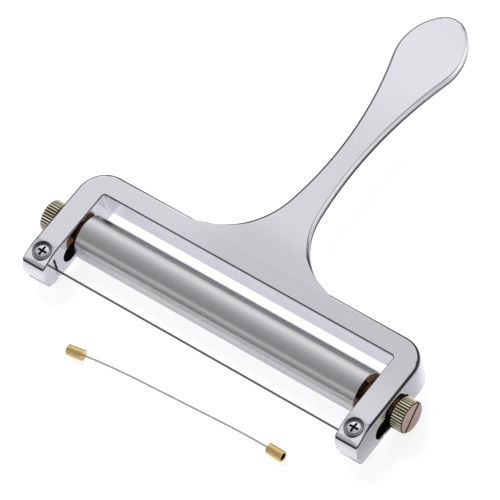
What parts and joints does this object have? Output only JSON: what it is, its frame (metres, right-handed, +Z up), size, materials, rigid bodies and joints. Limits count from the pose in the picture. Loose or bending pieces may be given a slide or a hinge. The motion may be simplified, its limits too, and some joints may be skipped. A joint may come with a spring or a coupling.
{
  "type": "cheese slicer",
  "caption": "Hand-held wire cheese slicer: cast frame with a paddle handle, a taut cutting wire and a roller that slides to set the slice thickness, clamped by knurled thumbscrews.",
  "frame": {"origin": "on the ground under the roller, at the middle of the slicer's width and length", "axes": "+X along the cutting wire, +Y from the wire towards the handle's tip, +Z up out of the frame's flat top"},
  "size_m": [0.142, 0.1577, 0.0157],
  "materials": {
    "casting": "polished chrome plate on a die-cast body",
    "wire": "bright drawn wire",
    "screw": "bright plated",
    "axle": "turned",
    "brass": "turned",
    "roller": "satin",
    "washer": "dull",
    "knob": "knurled, pale"
  },
  "bodies": {
    "casting": {"frame": "casting", "cutting_wire": "wire", "wire_ferrule_left": "brass", "wire_ferrule_right": "brass"},
    "carriage": {"axle": "axle", "axle_spacer_left": "brass", "axle_spacer_right": "brass"},
    "roller": {"roller_tube": "roller", "roller_bush_left": "brass", "roller_bush_right": "brass"},
    "clamp_left": {"clamp_washer_left": "washer"},
    "clamp_right": {"clamp_washer_right": "washer"},
    "knob_left": {"thumbscrew_left": "knob"},
    "knob_right": {"thumbscrew_right": "knob"},
    "screw_left": {"wire_screw_left": "screw"},
    "screw_right": {"wire_screw_right": "screw"},
    "spare": {"spare_wire": "wire", "spare_ferrule_left": "brass", "spare_ferrule_right": "brass"}
  },
  "joints": [
    {"name": "thickness_slide", "type": "slide", "parent": "casting", "child": "carriage", "axis": [0, 1, 0], "range_m": [-0.0067, 0.0026]},
    {"name": "roller_spin", "type": "hinge", "parent": "carriage", "child": "roller", "pos_m": [0, -0.05069, 0.0074], "axis": [1, 0, 0], "continuous": true},
    {"name": "left_clamp_travel", "type": "slide", "parent": "carriage", "child": "clamp_left", "axis": [-1, 0, 0], "range_m": [0, 0.0014]},
    {"name": "right_clamp_travel", "type": "slide", "parent": "carriage", "child": "clamp_right", "axis": [1, 0, 0], "range_m": [0, 0.0014]},
    {"name": "left_knob_turn", "type": "hinge", "parent": "clamp_left", "child": "knob_left", "pos_m": [-0.068, -0.05069, 0.0074], "axis": [-1, 0, 0], "range_deg": [0, 720]},
    {"name": "right_knob_turn", "type": "hinge", "parent": "clamp_right", "child": "knob_right", "pos_m": [0.068, -0.05069, 0.0074], "axis": [1, 0, 0], "range_deg": [0, 720]},
    {"name": "left_wire_screw_turn", "type": "hinge", "parent": "casting", "child": "screw_left", "pos_m": [-0.061, -0.06539, 0.0132], "axis": [0, 0, 1], "range_deg": [-90, 720]},
    {"name": "right_wire_screw_turn", "type": "hinge", "parent": "casting", "child": "screw_right", "pos_m": [0.061, -0.06539, 0.0132], "axis": [0, 0, 1], "range_deg": [-90, 720]},
    {"name": "spare_wire_lift", "type": "slide", "parent": "casting", "child": "spare", "axis": [0, 0, 1], "range_m": [0, 0.05]}
  ],
  "couplings": [
    {"joint": "left_knob_turn", "follows": "left_clamp_travel", "rad_per_m": 8976},
    {"joint": "right_knob_turn", "follows": "right_clamp_travel", "rad_per_m": 8976}
  ]
}
